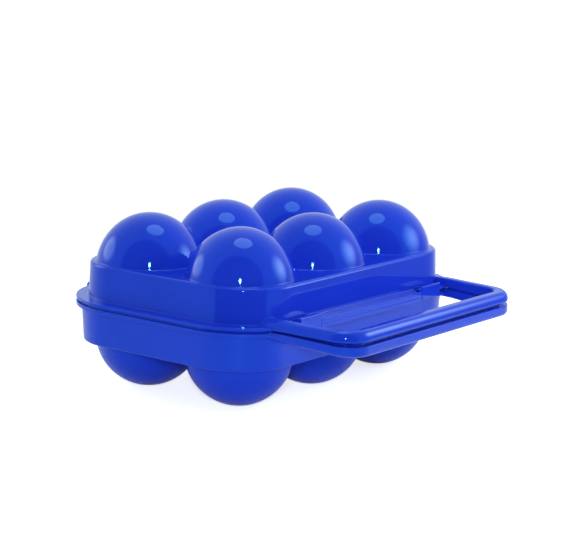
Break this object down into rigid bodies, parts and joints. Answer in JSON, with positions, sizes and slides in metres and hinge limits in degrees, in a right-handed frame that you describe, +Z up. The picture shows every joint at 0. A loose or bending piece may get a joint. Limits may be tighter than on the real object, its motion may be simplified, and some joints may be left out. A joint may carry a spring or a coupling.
{
  "type": "egg holder",
  "caption": "Hinged plastic clamshell egg carrier with domed pockets, a split finger handle and snap latches",
  "frame": {"origin": "bottom centre of the closed carrier's bounding box, on the surface it stands on", "axes": "+X along the rows of three eggs, to the right seen from the handle; -Y towards the handle; +Y towards the hinge; +Z up"},
  "size_m": [0.163, 0.1558, 0.0755],
  "materials": {
    "blue_plastic": "gloss"
  },
  "bodies": {
    "tray": {"tray": "blue_plastic", "hinge_pin_left": "blue_plastic", "hinge_pin_right": "blue_plastic"},
    "lid": {"lid": "blue_plastic"},
    "latch_left": {"latch_left": "blue_plastic"},
    "latch_right": {"latch_right": "blue_plastic"}
  },
  "joints": [
    {"name": "lid_hinge", "type": "hinge", "parent": "tray", "child": "lid", "pos_m": [0, 0.0757, 0.0378], "axis": [-1, 0, 0], "range_deg": [0, 180]},
    {"name": "latch_left_flex", "type": "hinge", "parent": "tray", "child": "latch_left", "pos_m": [-0.0448, -0.043, 0.0364], "axis": [1, 0, 0], "range_deg": [0, 12], "stiffness_Nm_per_rad": 0.1},
    {"name": "latch_right_flex", "type": "hinge", "parent": "tray", "child": "latch_right", "pos_m": [0.0448, -0.043, 0.0364], "axis": [1, 0, 0], "range_deg": [0, 12], "stiffness_Nm_per_rad": 0.1}
  ]
}
